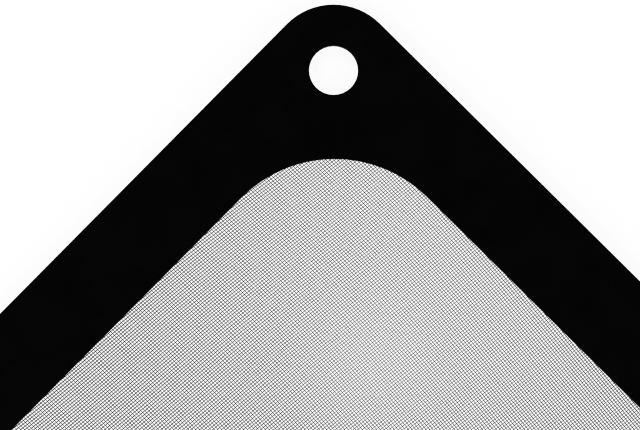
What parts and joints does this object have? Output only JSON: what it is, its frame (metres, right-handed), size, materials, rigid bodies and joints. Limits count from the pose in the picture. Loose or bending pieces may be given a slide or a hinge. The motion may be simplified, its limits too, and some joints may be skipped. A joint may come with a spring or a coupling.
{
  "type": "fan dust filter",
  "caption": "Thin square dust filter for a case fan: a fine woven mesh held between two flat black frame sheets with rounded corners and a screw hole in each corner.",
  "frame": {"origin": "middle of the underside, which is the side that lies against the fan", "axes": "+Z through the thickness from the fan side to the panel side, X and Y along the sides of the square"},
  "size_m": [0.12, 0.12, 0.0012],
  "materials": {
    "black_pvc_sheet": "matte black calendered PVC sheet with a very fine grain, die-cut edges",
    "black_pvc_thread": "black coated thread with a soft sheen, plain weave"
  },
  "bodies": {
    "root": {"front_frame": "black_pvc_sheet", "filter_mesh": "black_pvc_thread", "rear_frame": "black_pvc_sheet"}
  },
  "joints": []
}
